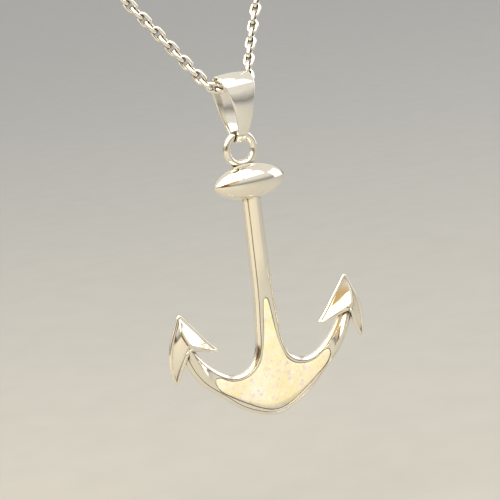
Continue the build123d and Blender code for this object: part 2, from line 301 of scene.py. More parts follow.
def polished_silver(name, bright, dull, roughness, ripple, ripple_size):
    """Sterling silver, cast, rolled, drawn or stamped, and polished.

    It mirrors its surroundings, slightly wavy from the buffing wheel, a little softer in
    patches, and darkened to brown in corners and scored lines by ambient occlusion: partly
    tarnish where cloth can't reach, partly painted shade. The waves have the ripple's height and
    size.
    """
    material = bpy.data.materials.new(name)
    material.use_nodes = True
    tree = material.node_tree
    tree.nodes.clear()
    place = add(tree, "TexCoord", {})
    wave = add(tree, "TexNoise", {
        "Vector": place.outputs["Object"], "Scale": 1 / (ripple_size * MM), "Detail": 1.0})
    hairline = add(tree, "TexNoise", {
        "Vector": place.outputs["Object"], "Scale": 1 / (HAIRLINE * MM), "Detail": 2.0})
    patch = add(tree, "TexNoise", {
        "Vector": place.outputs["Object"], "Scale": 1 / (PATCH * MM), "Detail": 3.0})
    soft = add(tree, "Bump", {
        "Height": wave.outputs[0], "Distance": ripple * MM, "Strength": 1.0})
    fine = add(tree, "Bump", {
        "Height": hairline.outputs[0], "Distance": HAIRLINE_DEPTH * MM, "Strength": 1.0,
        "Normal": soft.outputs["Normal"]})
    shade = add(tree, "Mix", {
        0: patch.outputs[0], 6: colour(dull), 7: colour(bright)}, data_type="RGBA")
    # Painted shade and tarnish: ambient occlusion darkens corners, joints and scored lines towards
    # dark brown.
    occlusion_shade = add(tree, "AmbientOcclusion", {
        "Distance": CREVICE * MM}, samples=8, only_local=False)
    reach = add(tree, "MapRange", {
        "Value": occlusion_shade.outputs["AO"], "From Min": FULL_TARNISH_AND_SHADE, "From Max": CLEAN_AND_UNSHADED,
        "To Min": 0.0, "To Max": 1.0})
    tarnished_and_shaded = add(tree, "Mix", {
        0: reach.outputs["Result"], 6: colour(TARNISH_AND_SHADE), 7: shade.outputs[2]}, data_type="RGBA")
    rough = add(tree, "MapRange", {
        "Value": patch.outputs[0], "From Min": 0.3, "From Max": 0.7,
        "To Min": roughness * PATCH_ROUGH, "To Max": roughness * PATCH_SMOOTH})
    surface = add(tree, "BsdfPrincipled", {
        "Base Color": tarnished_and_shaded.outputs[2], "Metallic": 1.0, "Roughness": rough.outputs["Result"],
        "Normal": fine.outputs["Normal"]})
    add(tree, "OutputMaterial", {"Surface": surface.outputs["BSDF"]})
    return material


def inward(edge):
    """Directions square to an edge in the front view, to the left of its run."""
    run = unit(np.gradient(edge, axis=0))
    return np.stack([-run[:, 1], run[:, 0]], axis=1)


def at_height(flat, height):
    """Points of the front view, set in front of the plate's middle by a height."""
    flat = np.asarray(flat)
    depth = -np.broadcast_to(height, flat.shape[:1])
    return np.stack([flat[:, 0], depth, flat[:, 1]], axis=1)


def scored(before, corner, after, width):
    """A corner with a fine line scored into it: its two brinks and the line's bottom between.

    The brinks lie a half width from the corner, on the runs before and after it. The bottom
    lies square to the line between them, inside the metal, by the half width times its depth.
    """
    near = corner + unit(before - corner) * width
    far = corner + unit(after - corner) * width
    chord = unit(far - near)
    inside = unit([[0, 1, 0]] - chord * chord[:, 1:2])
    return [near, (near + far) / 2 + inside * width * SCORE_DEPTH, far]


def plate_sections(edge, side, inner, height, spine, bed, bulge):
    """Sections of the plate from the back's middle over the edge to the front's middle.

    Corners: spine and back bevel on the back, the side's back corner, the line scored between
    side and front bevel, the one between bevel and face, the middle of the facet, the crest or
    the bed's lip, the bed's floor below it and the floor's middle.
    """
    face = PLATE_THICKNESS / 2
    side_back = at_height(edge, BACK_BEVEL - face)
    side_front = at_height(edge, face - BEVEL_DEPTH)
    bevel_end = at_height(edge + side * BEVEL_WIDTH, face)
    crest = at_height(inner, height)
    across = unit(np.cross(crest - bevel_end, [[0, 0, 1.0]]))
    outwards = across * -np.sign(across[:, 1:2])
    facet = (bevel_end + crest) / 2 + outwards * np.asarray(bulge)[:, None]
    corners = [
        at_height(spine, -face),
        at_height(edge + side * BACK_BEVEL, -face),
        side_back,
        *scored(side_back, side_front, bevel_end, OUTER_SCORE),
        *scored(side_front, bevel_end, facet, INNER_SCORE),
        facet,
        crest,
        at_height(inner, bed),
        at_height(spine, bed),
    ]
    return np.stack(corners, axis=1)


def make_plate(material):
    """Plate of both halves: sections carried once round its whole outline.

    A half has five stretches: shank, rim above the inlay, arm's upper side, arm's lower side,
    and rim below the inlay. The shank's crest falls to the face by e^2*(3 - 2e), where e runs
    from 1 at the crest's hip to 0 at the inlay's tip. Points beside the mirror plane, where the
    halves meet, are drawn onto it. Faces that share their centre are inner walls, back to back,
    and are left out.
    """
    upper = through(UPPER_EDGE, EDGE_STEPS)
    lower = half_through(LOWER_EDGE, EDGE_STEPS)
    upper_in = -inward(upper)
    lower_in = inward(lower)
    tip = int(np.argmin(np.abs(upper[:, 1] - INLAY_UPPER[0][1])))
    end_of_rim = int(np.argmin(np.abs(upper[:, 0] - INLAY_UPPER[-2][0])))
    end_below = int(np.argmin(np.abs(lower[:, 0] - INLAY_LOWER[-2][0])))
    shank = np.linspace(0, tip, SIDE_COLUMNS).astype(int)[:-1]
    rim = np.linspace(tip, end_of_rim, RIM_COLUMNS).astype(int)
    arm = np.linspace(end_of_rim, len(upper) - 1, SIDE_COLUMNS).astype(int)[1:]
    rim_below = np.linspace(0, end_below, RIM_COLUMNS).astype(int)
    arm_below = np.linspace(end_below, len(lower) - 1, SIDE_COLUMNS).astype(int)[1:]
    inlay_upper = through(INLAY_UPPER, RIM_COLUMNS)
    inlay_lower = half_through(INLAY_LOWER, RIM_COLUMNS)
    middle = (inlay_upper + inlay_lower) / 2
    crest = through(ARM_CREST, SIDE_COLUMNS)[1:]
    face = PLATE_THICKNESS / 2
    ridge = np.stack([np.zeros(len(shank)), upper[shank, 1]], axis=1)
    ease = np.clip((ridge[:, 1] - INLAY_UPPER[0][1]) / (CREST_HIP - INLAY_UPPER[0][1]), 0, 1)
    ease = ease**2 * (3 - 2 * ease)
    fall = face + (CREST_HEIGHT - face) * ease
    level = np.full(RIM_COLUMNS, face)
    bed = level - BED_DEPTH
    flat = np.zeros(RIM_COLUMNS)
    arm_height = np.maximum(crest[:, 2], face)
    arm_bulge = FACET_BULGE * np.linspace(0, 1, SIDE_COLUMNS)[1:]
    roof = (ridge, fall, ridge, fall, FACET_BULGE * ease)
    above = (inlay_upper, level, middle, bed, flat)
    below = (inlay_lower, level, middle, bed, flat)
    arm_roof = (crest[:, :2], arm_height, crest[:, :2], arm_height, arm_bulge)
    half = np.concatenate([
        plate_sections(upper[shank], upper_in[shank], *roof),
        plate_sections(upper[rim], upper_in[rim], *above),
        plate_sections(upper[arm], upper_in[arm], *arm_roof),
        plate_sections(lower[arm_below], lower_in[arm_below], *arm_roof)[::-1],
        plate_sections(lower[rim_below], lower_in[rim_below], *below)[::-1],
    ])
    half = rounded(half, PLATE_ROUNDING)
    half[..., 0] = np.where(np.abs(half[..., 0]) < SEAM_REACH, 0, half[..., 0])
    whole = np.concatenate([half, half[::-1] * [-1, 1, 1]])
    faces = grid_faces(whole.shape[0], whole.shape[1], False)
    centres = np.round(whole.reshape(-1, 3)[faces].mean(axis=1), CENTRE_DIGITS)
    _, which, alike = np.unique(centres, axis=0, return_inverse=True, return_counts=True)
    faces = faces[alike[which.ravel()] == 1]
    make_piece("anchor_plate", whole, faces, "anchor", "anchor", material)


# A near-perfect mirror whose reflections waver a little, as they do on a small casting.
cast_silver = polished_silver(
    "buffed cast silver", "#FBF8EE", "#F0E8D8", roughness=0.075, ripple=0.008, ripple_size=1.4)
make_plate(cast_silver)

# Flukes. Each is a three-cornered arrowhead of the same casting. A rounded rim runs round it and
# rises to where the arm comes out of its notch, and inside the rim two facets climb to a ridge:
# the inner one is nearly flat, and the outer one hollowed like an almond.
FLUKE_LENGTH = 5.9
FLUKE_WIDTH = 5.46
FLUKE_LEAN = radians(12.4)
FLUKE_FRONT = 1.3         # ridge in front of the plate's middle
FLUKE_BACK = 1.05         # and behind it
FLUKE_EDGE = 0.4          # thickness at the sides
FLUKE_RIM = 0.21          # radius of the rim
FLUKE_SINK = 0.10         # the facets' feet lie this far below the rim's crest
OUTER_HOLLOW = 0.27       # how far a facet sinks below a straight line from edge to ridge
INNER_HOLLOW = -0.03
ROOT_RISE = 0.8           # the rim's height at the notch, as a share of the ridge's
RIM_CLIMB = 1.5           # power by which the rim rises from a barb to the notch
RIDGE_CLIMB = 1.25        # power by which the ridge rises from the point to the notch
RIDGE_LEAD = 1.35         # columns run down the ridge this many times as fast as down a side
RIM_SLACK = 0.004         # a centre point may be this much too near the outline and stay
RIM_SMOOTHING = 5
RIM_SIDES = 12
RIDGE_STEPS = 400
SIDE_STEPS = 60
FOOT_STEPS = 24
BACK_ROWS = 5
FRONT_ROWS = 9
ROOT_PLACE = (9.70, 9.59)
# Shares of the length along the fluke, and of the width outwards across it.
FLUKE_ROOT = (0.438, 0.088)
FLUKE_NOTCH = (0.370, 0.088)
OUTER_BARB = (-0.215, 0.525)
INNER_BARB = (-0.020, -0.635)
OUTER_SIDE = [
    OUTER_BARB,
    (0.100, 0.548),
    (0.340, 0.487),
    (0.577, 0.375),
    (0.800, 0.200),
    (1.060, 0.000),
]
INNER_SIDE = [
    (1.060, 0.000),
    (0.780, -0.140),
    (0.560, -0.262),
    (0.320, -0.390),
    INNER_BARB,
]
RIDGE = [(0.950, 0.000), (0.760, 0.105), (0.510, 0.090)]


def fluke_place(shares):
    """Places in the front view of points given as shares along and across the fluke."""
    shares = np.asarray(shares, dtype=float)
    along = (shares[:, 0] - FLUKE_ROOT[0]) * FLUKE_LENGTH
    across = (shares[:, 1] - FLUKE_ROOT[1]) * FLUKE_WIDTH
    x = ROOT_PLACE[0] + along * sin(FLUKE_LEAN) + across * cos(FLUKE_LEAN)
    z = ROOT_PLACE[1] + along * cos(FLUKE_LEAN) - across * sin(FLUKE_LEAN)
    return np.stack([x, z], axis=1)


def rim_line(outline, top):
    """Centre line of a round rim inside a closed outline whose crest has a height at each point.

    It is the outline set in by the rim's radius. Points that come nearer to another stretch of
    the outline are dropped, and the rest smoothed by taking each point's mean with its
    neighbours a few times, which rounds the corners. Also gives each outline point's nearest.
    """
    run = unit(np.roll(outline, -1, axis=0) - np.roll(outline, 1, axis=0))
    line = outline + np.stack([-run[:, 1], run[:, 0]], axis=1) * FLUKE_RIM
    clear = np.linalg.norm(line[:, None] - outline[None], axis=2).min(axis=1)
    tarnished_and_shaded = np.flatnonzero(clear > FLUKE_RIM - RIM_SLACK)
    steps = np.abs(np.arange(len(outline))[:, None] - tarnished_and_shaded[None])
    nearest = np.minimum(steps, len(outline) - steps).argmin(axis=1)
    line = np.column_stack([line, FLUKE_RIM - top])[tarnished_and_shaded]
    for _ in range(RIM_SMOOTHING):
        line = (np.roll(line, 1, axis=0) + 2 * line + np.roll(line, -1, axis=0)) / 4
    return line, nearest


def rim_tube(line):
    """A circle carried round the rim's centre line, square to it in the front view."""
    run = unit(np.roll(line, -1, axis=0)[:, :2] - np.roll(line, 1, axis=0)[:, :2])
    turn = np.arange(RIM_SIDES)[None, :] * 2 * pi / RIM_SIDES
    wide = FLUKE_RIM * np.cos(turn)
    x = line[:, :1] - run[:, 1:] * wide
    y = line[:, 2:] + FLUKE_RIM * np.sin(turn)
    z = line[:, 1:2] + run[:, :1] * wide
    return np.stack([x, y, z], axis=-1)


def make_fluke(name, mirror, material):
    """Arrowhead: columns from the rim's middle to their feet on the ridge, and the rim.

    A column rises from the rim to the ridge by t - 4*k*t*(1-t), where t runs from 0 at
    the rim to 1 at the ridge and k is the hollow. The ridge's height is that at the root times
    its share of the way down from the point, to a power.
    """
    outer = through(fluke_place(OUTER_SIDE), SIDE_STEPS)[:-1]
    inner = through(fluke_place(INNER_SIDE), SIDE_STEPS)[:-1]
    foot_share = np.linspace(0, 1, FOOT_STEPS, endpoint=False)
    barbs = fluke_place([INNER_BARB, FLUKE_NOTCH, OUTER_BARB])
    inner_foot = barbs[0] + (barbs[1] - barbs[0]) * foot_share[:, None]
    outer_foot = barbs[1] + (barbs[2] - barbs[1]) * foot_share[:, None]
    outline = np.concatenate([outer, inner, inner_foot, outer_foot])
    down = np.clip(np.linspace(0, RIDGE_LEAD, SIDE_STEPS), 0, 1)
    share = np.concatenate([down[:0:-1], down[:-1], np.ones(2 * FOOT_STEPS)])
    climb = np.concatenate([np.zeros(2 * SIDE_STEPS - 2), foot_share, 1 - foot_share])
    low = FLUKE_EDGE / 2
    rim_top = low + (FLUKE_FRONT * ROOT_RISE - low) * climb**RIM_CLIMB
    back_rim = low + (FLUKE_BACK * ROOT_RISE - low) * climb**RIM_CLIMB - FLUKE_SINK
    ridge_way = through(fluke_place(RIDGE), RIDGE_STEPS)
    ridge = ridge_way[(share * (RIDGE_STEPS - 1)).astype(int)]
    hollow = np.full(len(outline), OUTER_HOLLOW)
    hollow[SIDE_STEPS - 1: -FOOT_STEPS] = INNER_HOLLOW
    line, nearest = rim_line(outline, rim_top)
    start = line[nearest, :2]
    foot = FLUKE_RIM - line[nearest, 2] - FLUKE_SINK
    lift = share**RIDGE_CLIMB
    sections = []
    for t in np.linspace(1, 0, BACK_ROWS):
        flat = start * (1 - t) + ridge * t
        depth = back_rim + (low + (FLUKE_BACK - low) * lift - back_rim) * t
        sections.append(np.stack([flat[:, 0], depth, flat[:, 1]], axis=1))
    for t in np.linspace(0, 1, FRONT_ROWS):
        flat = start * (1 - t) + ridge * t
        part = t - 4 * hollow * t * (1 - t)
        depth = foot + (low + (FLUKE_FRONT - low) * lift - foot) * part
        sections.append(np.stack([flat[:, 0], -depth, flat[:, 1]], axis=1))
    body = np.stack(sections, axis=1)
    rim = rim_tube(line)
    body_faces = grid_faces(body.shape[0], body.shape[1], False)
    rim_faces = grid_faces(rim.shape[0], rim.shape[1], True) + body.shape[0] * body.shape[1]
    points = np.concatenate([body.reshape(-1, 3), rim.reshape(-1, 3)]) * [mirror, 1, 1]
    faces = np.concatenate([body_faces, rim_faces])
    make_piece(name, points, faces, "anchor", None, material)


make_fluke("left_fluke", 1, cast_silver)
make_fluke("right_fluke", -1, cast_silver)

# Stock. A solid spindle of silver, turned to a blunt point at each end and soldered across the
# shank's top.
STOCK_LENGTH = 8.25
STOCK_RADIUS = 1.825
STOCK_FULLNESS = 1.55     # 1 gives a pointed parabola, 2 an ellipse
STOCK_STATIONS = 81
STOCK_SIDES = 72


def make_stock(material):
    """Spindle: a circle of radius R*(1 - (x/h)^2)^(1/f) carried along x.

    R is its radius at the middle, h its half length and f the fullness.
    """
    turn = np.linspace(0, pi, STOCK_STATIONS)
    x = -STOCK_LENGTH / 2 * np.cos(turn)
    r = STOCK_RADIUS * np.clip(np.sin(turn), 0, 1) ** (2 / STOCK_FULLNESS)
    around = np.linspace(0, 2 * pi, STOCK_SIDES, endpoint=False)[:, None]
    across = np.broadcast_to(x, (STOCK_SIDES, STOCK_STATIONS))
    up = STOCK_HEIGHT + np.sin(around) * r
    grid = np.stack([across, np.cos(around) * r, up], axis=-1)
    faces = grid_faces(STOCK_SIDES, STOCK_STATIONS, False)
    make_piece("stock", grid, faces, "anchor", None, material)


make_stock(cast_silver)

# Ring. Round silver wire bent to a closed ring, and hard-soldered to the back of the stock's
# top, where the solder has drawn up into a small fillet.
RING_RADIUS = 1.58        # to the middle of the wire
RING_WIRE = 0.41          # radius of the wire
RING_SETBACK = 1.1        # behind the plate's middle
RING_HEIGHT = 28.062      # its middle, above the crown's lowest point
SOLDER_SWELL = 0.30       # the fillet's thickness, as a share of the wire's
SOLDER_SPREAD = 0.34      # radians round the ring to either side
RING_STATIONS = 72
RING_SIDES = 20


def make_ring(material):
    """Ring: a circle of wire carried round, swollen by a bell curve at its foot."""
    around = np.linspace(0, 2 * pi, RING_STATIONS, endpoint=False)[:, None]
    wire = np.linspace(0, 2 * pi, RING_SIDES, endpoint=False)[None, :]
    from_foot = (around + pi / 2 + pi) % (2 * pi) - pi
    thick = RING_WIRE * (1 + SOLDER_SWELL * np.exp(-(from_foot / SOLDER_SPREAD) ** 2))
    out = RING_RADIUS + thick * np.cos(wire)
    back = RING_SETBACK + thick * np.sin(wire)
    up = RING_HEIGHT + out * np.sin(around)
    grid = np.stack([out * np.cos(around), back, up], axis=-1)
    faces = grid_faces(RING_STATIONS, RING_SIDES, True)
    make_piece("ring", grid, faces, "anchor", None, material)


make_ring(cast_silver)

# Inlay. A thin slip of white opal, ground to the crown's outline, bedded in clear glue and
# polished flush with the silver, with a faint dome and a softened edge.
INLAY_GAP = 0.07          # glue line round it and under it
INLAY_DOME = 0.05
INLAY_EDGE = 0.04         # its edge stands this far below the plate's face
INLAY_ACROSS = 17         # points across it
NECK_FROM = 5.6           # above the crown's lowest point: from here up the fire is yellow
NECK_FULL = 8.2
OPAL_DRIFT = 3.2          # size of the drifts in the stone's body
OPAL_BODY = ("#F0E7C0", "#F8F5EA")
FLECK_BEND = 0.5          # how far a fleck's edge is bent, and over what length
FLECK_BEND_SIZE = 0.25
# Flecks of fire. Columns: size, chance from which one shows, strength of the brightest.
FLECKS = [
    (0.24, 0.10, 0.80),
    (0.50, 0.30, 0.45),
    (0.70, 0.82, 0.75),
]
# Fleck colours. Columns: where each begins on a scale of chance from 0 to 1, colour.
CROWN_FIRE = [
    (0.00, "#F5E9A8"),
    (0.26, "#FFFDEE"),
    (0.52, "#DFF2C4"),
    (0.66, "#CDBDF4"),
    (0.80, "#F6D8D0"),
]
NECK_FIRE = [
    (0.00, "#F7EE6A"),
    (0.30, "#FBF530"),
    (0.55, "#D6F08A"),
    (0.72, "#FFF3C8"),
    (0.90, "#E0CBF0"),
]


def white_opal(name):
    """White opal under a glassy polish.

    It is milky cream, yellower in drifts and up the neck. Small patches of yellow, green, pink
    and violet fire show faintly all over and brightly in a few places.
    """
    material = bpy.data.materials.new(name)
    material.use_nodes = True
    tree = material.node_tree
    tree.nodes.clear()
    place = add(tree, "TexCoord", {})
    height = add(tree, "SeparateXYZ", {0: place.outputs["Object"]})
    neck = add(tree, "MapRange", {
        "Value": height.outputs["Z"], "From Min": (CROWN[2] + NECK_FROM) * MM,
        "From Max": (CROWN[2] + NECK_FULL) * MM, "To Min": 0.0, "To Max": 1.0})
    drift = add(tree, "TexNoise", {
        "Vector": place.outputs["Object"], "Scale": 1 / (OPAL_DRIFT * MM), "Detail": 3.0,
        "Roughness": 0.55})
    body = add(tree, "ValToRGB", {"Fac": drift.outputs[0]})
    ramp = body.color_ramp.elements
    ramp[0].position = 0.38
    ramp[0].color = colour(OPAL_BODY[0])
    ramp[1].position = 0.62
    ramp[1].color = colour(OPAL_BODY[1])
    bent = add(tree, "TexNoise", {
        "Vector": place.outputs["Object"], "Scale": 1 / (FLECK_BEND_SIZE * MM), "Detail": 2.0})
    push = add(tree, "VectorMath", {
        0: bent.outputs[1], 1: [FLECK_BEND * MM] * 3}, operation="MULTIPLY")
    warped = add(tree, "VectorMath", {
        0: place.outputs["Object"], 1: push.outputs[0]}, operation="ADD")
    mixed = body.outputs[0]
    for size, shown_from, strength in FLECKS:
        cells = add(tree, "TexVoronoi", {
            "Vector": warped.outputs[0], "Scale": 1 / (size * MM), "Randomness": 1.0})
        hue = add(tree, "SeparateColor", {0: cells.outputs["Color"]})
        fires = []
        for table in (CROWN_FIRE, NECK_FIRE):
            fire = add(tree, "ValToRGB", {"Fac": hue.outputs[0]})
            fire.color_ramp.interpolation = "CONSTANT"
            for stop, (position, tint) in enumerate(table):
                if stop < 2:
                    fire.color_ramp.elements[stop].position = position
                else:
                    fire.color_ramp.elements.new(position)
                fire.color_ramp.elements[stop].color = colour(tint)
            fires.append(fire.outputs[0])
        local = add(tree, "Mix", {
            0: neck.outputs[0], 6: fires[0], 7: fires[1]}, data_type="RGBA")
        shown = add(tree, "MapRange", {
            "Value": hue.outputs[1], "From Min": shown_from, "From Max": 1.0,
            "To Min": 0.0, "To Max": strength})
        near = add(tree, "MapRange", {
            "Value": cells.outputs["Distance"], "From Min": 0.62, "From Max": 0.30,
            "To Min": 0.0, "To Max": 1.0})
        amount = add(tree, "Math", {
            0: shown.outputs[0], 1: near.outputs[0]}, operation="MULTIPLY")
        mixed = add(tree, "Mix", {
            0: amount.outputs[0], 6: mixed, 7: local.outputs[2]}, data_type="RGBA").outputs[2]
    surface = add(tree, "BsdfPrincipled", {
        "Base Color": mixed, "Roughness": 0.12, "IOR": 1.45, "Coat Weight": 0.4,
        "Coat Roughness": 0.04, "Subsurface Weight": 0.15, "Subsurface Scale": 0.2 * MM})
    add(tree, "OutputMaterial", {"Surface": surface.outputs["BSDF"]})
    return material


def make_inlay(material):
    """Slip: lines ruled from the inlay's upper edge to its lower edge, drawn in by the gap.

    Its front stands forward by the dome times 1 - (2s-1)^4, where s runs down a line.
    """
    upper = through(INLAY_UPPER, RIM_COLUMNS)
    lower = half_through(INLAY_LOWER, RIM_COLUMNS)
    upper = upper - inward(upper) * INLAY_GAP
    lower = lower + inward(lower) * INLAY_GAP
    upper[0, 0] = 0.0
    lower[0, 0] = 0.0
    upper[-1] = lower[-1] = (upper[-1] + lower[-1]) / 2
    s = np.linspace(0, 1, INLAY_ACROSS)[None, :, None]
    flat = upper[:, None] * (1 - s) + lower[:, None] * s
    face = PLATE_THICKNESS / 2
    dome = INLAY_DOME * (1 - (2 * s[..., 0] - 1) ** 4)
    height = np.broadcast_to(face - INLAY_EDGE + dome, flat.shape[:2])
    low = np.full(flat.shape[:2], face - BED_DEPTH + INLAY_GAP)
    front = np.stack([flat[..., 0], -height, flat[..., 1]], axis=-1)
    back = np.stack([flat[..., 0], -low, flat[..., 1]], axis=-1)
    half = np.concatenate([front, back[:, ::-1]], axis=1)
    mirrored = (half * [-1, 1, 1])[::-1]
    grid = np.concatenate([mirrored, half])
    faces = grid_faces(grid.shape[0], grid.shape[1], True)
    faces = faces[: -grid.shape[1]]
    make_piece("opal_inlay", grid, faces, "anchor", "inlay", material)


make_inlay(white_opal("polished white opal"))

# Bail. A strip of silver sheet, sawn to a flared outline and folded over the chain, with its two
# ends brought together in a tight bend round the anchor's ring.
BAIL_FOOT_RADIUS = 0.90   # outside of the lower bend
BAIL_TOP_RADIUS = 1.75    # outside of the upper bend
BAIL_LEAF_RADIUS = 5.491  # outside of the bowed leaves between them
BAIL_SHEET = 0.35
BAIL_WIDTH = 3.8
BAIL_FOOT_WIDTH = 1.1
BAIL_HEIGHT = 7.04
BAIL_DOME = 0.08          # bulge of the outer face, as a share of the half width
LEAF_STATIONS = 41
TOP_STATIONS = 33
FOOT_STATIONS = 25
FLARE_STEPS = 200         # points along the smooth curve through the flare's rows
FACE_POINTS = 7           # points across the domed face
BAIL_ROUNDING = [0.07, 0.1] + [0.3] * (FACE_POINTS - 2) + [0.1, 0.07]
# Share of the height, and how far the width has opened from the foot's to the top's.
BAIL_FLARE = [
    (0.00, 0.00),
    (0.16, 0.04),
    (0.32, 0.17),
    (0.48, 0.35),
    (0.67, 0.61),
    (0.84, 0.88),
    (1.00, 1.00),
]
bail_low, bail_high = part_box("bail")
BAIL_PLACE = np.array([0.0, (bail_low[1] + bail_high[1]) / 2, bail_low[2]]) / MM
BAIL_PLACE[2] += BAIL_FOOT_RADIUS


def arc(radius, turn, middle=(0.0, 0.0)):
    """Points of an arc in the side view about its middle, and their directions from it."""
    out = np.stack([np.cos(turn), np.sin(turn)], axis=1)
    return middle + radius * out, out


def make_bail(material):
    """Band: a rounded strip section carried round the bail's side view.

    The side view is four tangent arcs about the lower bend's centre: the front leaf, centred
    behind the bail, the top, the back leaf, which mirrors the front, and the foot. The strip's
    half width at a height comes from the flare, and its outer face bulges by a dome times
    1 - x^2, where x runs from -1 to 1 across it.
    """
    middle = BAIL_SHEET / 2
    top = BAIL_TOP_RADIUS - middle
    foot = BAIL_FOOT_RADIUS - middle
    leaf = BAIL_LEAF_RADIUS - middle
    span = BAIL_HEIGHT - BAIL_TOP_RADIUS - BAIL_FOOT_RADIUS
    side_z = ((leaf - foot) ** 2 - (leaf - top) ** 2 + span**2) / (2 * span)
    side_y = sqrt((leaf - foot) ** 2 - side_z**2)
    low_turn = atan2(-side_z, -side_y)
    high_turn = atan2(span - side_z, -side_y)
    leaf_turn = np.linspace(low_turn + 2 * pi, high_turn, LEAF_STATIONS)[:-1]
    over_turn = np.linspace(high_turn, pi - high_turn, TOP_STATIONS)[:-1]
    under_turn = np.linspace(pi - low_turn - 2 * pi, low_turn, FOOT_STATIONS)[:-1]
    front, front_out = arc(leaf, leaf_turn, (side_y, side_z))
    over, over_out = arc(top, over_turn, (0.0, span))
    under, under_out = arc(foot, under_turn)
    path = np.concatenate([front, over, front[::-1] * [-1, 1], under])
    out = np.concatenate([front_out, over_out, front_out[::-1] * [-1, 1], under_out])
    height = (path[:, 1] + BAIL_FOOT_RADIUS) / BAIL_HEIGHT
    flare = through(BAIL_FLARE, FLARE_STEPS)
    opened = np.interp(height, flare[:, 0], flare[:, 1])
    half = (BAIL_FOOT_WIDTH + (BAIL_WIDTH - BAIL_FOOT_WIDTH) * opened) / 2
    face = np.linspace(-1, 1, FACE_POINTS)
    back = [-0.5, -0.5]
    across = np.concatenate([[0, -1], face, [1, 0]])
    level = np.concatenate([back, np.full(FACE_POINTS, 0.5), back]) * BAIL_SHEET
    domed = np.concatenate([[0, 0], BAIL_DOME * (1 - face**2), [0, 0]])
    corners = np.stack([
        half[:, None] * across,
        level + half[:, None] * domed,
        np.zeros((len(half), len(across))),
    ], axis=-1)
    strip = rounded(corners, BAIL_ROUNDING)[:, 1:]
    grid = np.stack([
        strip[..., 0],
        path[:, None, 0] + out[:, None, 0] * strip[..., 1],
        path[:, None, 1] + out[:, None, 1] * strip[..., 1],
    ], axis=-1)
    faces = grid_faces(grid.shape[0], grid.shape[1], True)
    make_piece("folded_bail", grid, faces, "bail", "bail", material, BAIL_PLACE)


# Long soft waves from the planishing hammer, so that each reflection bends slowly.
rolled_silver = polished_silver(
    "planished silver sheet", "#FCFAF4", "#F0EBDF", roughness=0.08, ripple=0.03, ripple_size=1.7)
make_bail(rolled_silver)

# Chain. A plain cable chain of round silver wire: oval links, each a quarter turn from the
# next, soldered shut and drawn up tight by the pendant's weight.
LINK_LENGTH = 1.84
LINK_WIDTH = 1.34
LINK_WIRE = 0.21          # radius of the wire
LINK_PITCH = LINK_LENGTH - 4 * LINK_WIRE
LINK_PHASE = radians(-34)  # turn of the first link about the chain's line
LINK_STATIONS = 14
WIRE_SIDES = 6
ROUTE_STEPS = 60          # of the route's spline, to each of its points
NECK_MIDDLE = (0.0, -60.0)  # x and y of the neck's axis
# Left half of the route, from the bail round to the nape. The right half mirrors it.
CHAIN_LEFT = [
    (1.3, -127.7, -100.4),
    (2.3, -127.5, -100.4),
    (2.9, -126.1, -98.9),
    (8.4, -121.8, -89.7),
    (22.9, -113.1, -69.1),
    (44.6, -93.8, -39.8),
    (59.2, -61.0, -16.8),
    (54.0, -25.8, -4.0),
    (34.2, -7.8, -1.2),
    (17.4, -0.6, -0.3),
    (7.0, 0.8, 0.0),
]


def spline_points(name, controls):
    """Points of a smooth spline of order 3 that has the controls as its control points."""
    curve = bpy.data.curves.new(name, "CURVE")
    curve.dimensions = "3D"
    curve.resolution_u = ROUTE_STEPS
    spline = curve.splines.new("NURBS")
    spline.points.add(len(controls) - 1)
    for point, control in zip(spline.points, controls):
        point.co = (*control, 1.0)
    spline.use_endpoint_u = True
    spline.order_u = 3
    holder = bpy.data.objects.new(name, curve)
    mesh = bpy.data.meshes.new_from_object(holder)
    points = np.empty(len(mesh.vertices) * 3)
    mesh.vertices.foreach_get("co", points)
    bpy.data.objects.remove(holder)
    bpy.data.meshes.remove(mesh)
    bpy.data.curves.remove(curve)
    return points.reshape(-1, 3)


